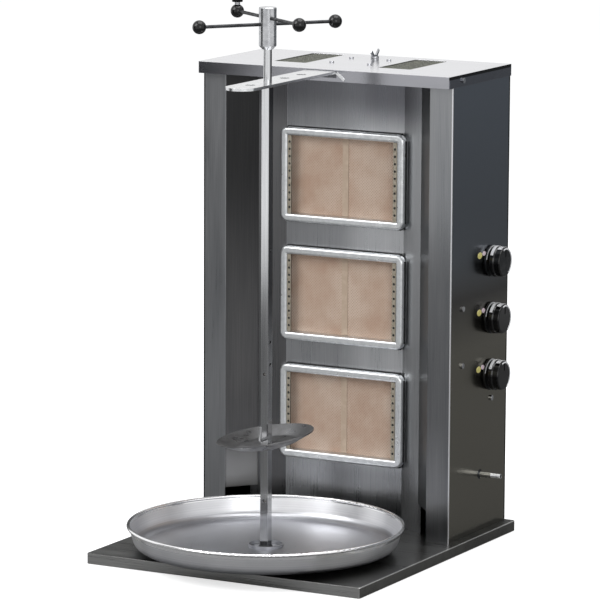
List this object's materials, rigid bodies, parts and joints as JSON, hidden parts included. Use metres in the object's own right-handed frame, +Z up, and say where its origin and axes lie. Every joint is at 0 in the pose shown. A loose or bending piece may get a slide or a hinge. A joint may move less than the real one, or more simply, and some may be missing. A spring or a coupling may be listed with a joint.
{
  "type": "gas doner kebab grill",
  "caption": "Upright gas grill for stacked meat: burners in a folded steel bay, a turning skewer with a crank handle, a round drip pan and side gas knobs.",
  "frame": {"origin": "where the skewer's axis meets the counter, on the middle foot's sole", "axes": "+X to the right seen from the front, +Y to the back, +Z up"},
  "size_m": [0.4555, 0.5661, 0.853],
  "materials": {
    "stainless": "brushed stainless sheet",
    "galvanised": "galvanised inner sheet",
    "chrome": "bright chrome plate",
    "aluminium": "spun aluminium with turning marks",
    "ceramic": "perforated burner ceramic",
    "black_knob": "black gloss bakelite",
    "rubber": "moulded rubber",
    "brass": "turned brass",
    "mesh": "dark heat-stained mesh"
  },
  "bodies": {
    "grill_frame": {"base_tray": "stainless", "casing_left": "stainless", "casing_right": "stainless", "reflector_panel": "stainless", "back_panel": "stainless", "top_cover": "stainless", "hose_nozzle": "stainless", "base_stiffener": "galvanised", "burner_bay_floor": "galvanised", "arm_guide": "galvanised", "clamp_nut": "galvanised", "pan_guides": "galvanised", "burner_box_1": "galvanised", "burner_box_2": "galvanised", "burner_box_3": "galvanised", "venturi_tubes": "galvanised", "gas_rail": "galvanised", "supply_pipes": "galvanised", "burner_frame_1": "chrome", "burner_frame_2": "chrome", "burner_frame_3": "chrome", "knob_bezels": "chrome", "casing_screws": "chrome", "back_screws": "chrome", "cover_screws": "chrome", "guide_rivets": "chrome", "inlet_fitting": "chrome", "ceramic_plaques_1": "ceramic", "ceramic_plaques_2": "ceramic", "ceramic_plaques_3": "ceramic", "rubber_feet": "rubber", "injectors": "brass", "tap_body_1": "brass", "tap_body_2": "brass", "tap_body_3": "brass", "vent_meshes": "mesh"},
    "arm_bar": {"arm": "stainless"},
    "clamp": {"wing_screw": "stainless"},
    "carriage": {"carriage_plate": "stainless", "pivot_bush": "brass"},
    "pan": {"drip_pan": "aluminium"},
    "spindle": {"skewer": "stainless", "stop_pin": "stainless", "meat_dish": "stainless"},
    "lock": {"lock_pin": "stainless"},
    "handle": {"hub": "stainless", "handle_rods": "stainless", "handle_balls": "black_knob", "crank_stem": "stainless"},
    "grip": {"crank_grip": "black_knob"},
    "plug_1": {"tap_plug_1": "brass"},
    "knob_stem_1": {"tap_stem_1": "brass", "knob_1": "black_knob"},
    "plug_2": {"tap_plug_2": "brass"},
    "knob_stem_2": {"tap_stem_2": "brass", "knob_2": "black_knob"},
    "plug_3": {"tap_plug_3": "brass"},
    "knob_stem_3": {"tap_stem_3": "brass", "knob_3": "black_knob"}
  },
  "joints": [
    {"name": "carriage_slide", "type": "slide", "parent": "grill_frame", "child": "carriage", "axis": [0, 1, 0], "range_m": [-0.015, 0.01]},
    {"name": "arm_slide", "type": "slide", "parent": "grill_frame", "child": "arm_bar", "axis": [0, 1, 0], "range_m": [-0.015, 0.01]},
    {"name": "spindle_spin", "type": "hinge", "parent": "carriage", "child": "spindle", "pos_m": [0, 0, 0.031], "axis": [0, 0, 1], "continuous": true},
    {"name": "lock_pin_pull", "type": "slide", "parent": "spindle", "child": "lock", "axis": [0, -1, 0], "range_m": [0, 0.03]},
    {"name": "handle_lift", "type": "slide", "parent": "spindle", "child": "handle", "axis": [0, 0, 1], "range_m": [0, 0.06]},
    {"name": "grip_spin", "type": "hinge", "parent": "handle", "child": "grip", "pos_m": [-0.08386, 0.06319, 0.82], "axis": [0, 0, 1], "continuous": true},
    {"name": "pan_lift", "type": "slide", "parent": "carriage", "child": "pan", "axis": [0, 0, 1], "range_m": [0, 0.09]},
    {"name": "wing_screw_turn", "type": "hinge", "parent": "grill_frame", "child": "clamp", "pos_m": [0, 0.327, 0.692], "axis": [0, 0, 1], "range_deg": [0, 540]},
    {"name": "knob_turn_1", "type": "hinge", "parent": "grill_frame", "child": "plug_1", "pos_m": [0.2025, 0.311, 0.4098], "axis": [1, 0, 0], "range_deg": [0, 180]},
    {"name": "knob_push_1", "type": "slide", "parent": "plug_1", "child": "knob_stem_1", "axis": [-1, 0, 0], "range_m": [0, 0.004], "stiffness_N_per_m": 800, "springref_m": -0.002},
    {"name": "knob_turn_2", "type": "hinge", "parent": "grill_frame", "child": "plug_2", "pos_m": [0.2025, 0.311, 0.3262], "axis": [1, 0, 0], "range_deg": [0, 180]},
    {"name": "knob_push_2", "type": "slide", "parent": "plug_2", "child": "knob_stem_2", "axis": [-1, 0, 0], "range_m": [0, 0.004], "stiffness_N_per_m": 800, "springref_m": -0.002},
    {"name": "knob_turn_3", "type": "hinge", "parent": "grill_frame", "child": "plug_3", "pos_m": [0.2025, 0.311, 0.2426], "axis": [1, 0, 0], "range_deg": [0, 180]},
    {"name": "knob_push_3", "type": "slide", "parent": "plug_3", "child": "knob_stem_3", "axis": [-1, 0, 0], "range_m": [0, 0.004], "stiffness_N_per_m": 800, "springref_m": -0.002}
  ],
  "couplings": [
    {"joint": "arm_slide", "follows": "carriage_slide", "ratio": 1}
  ]
}
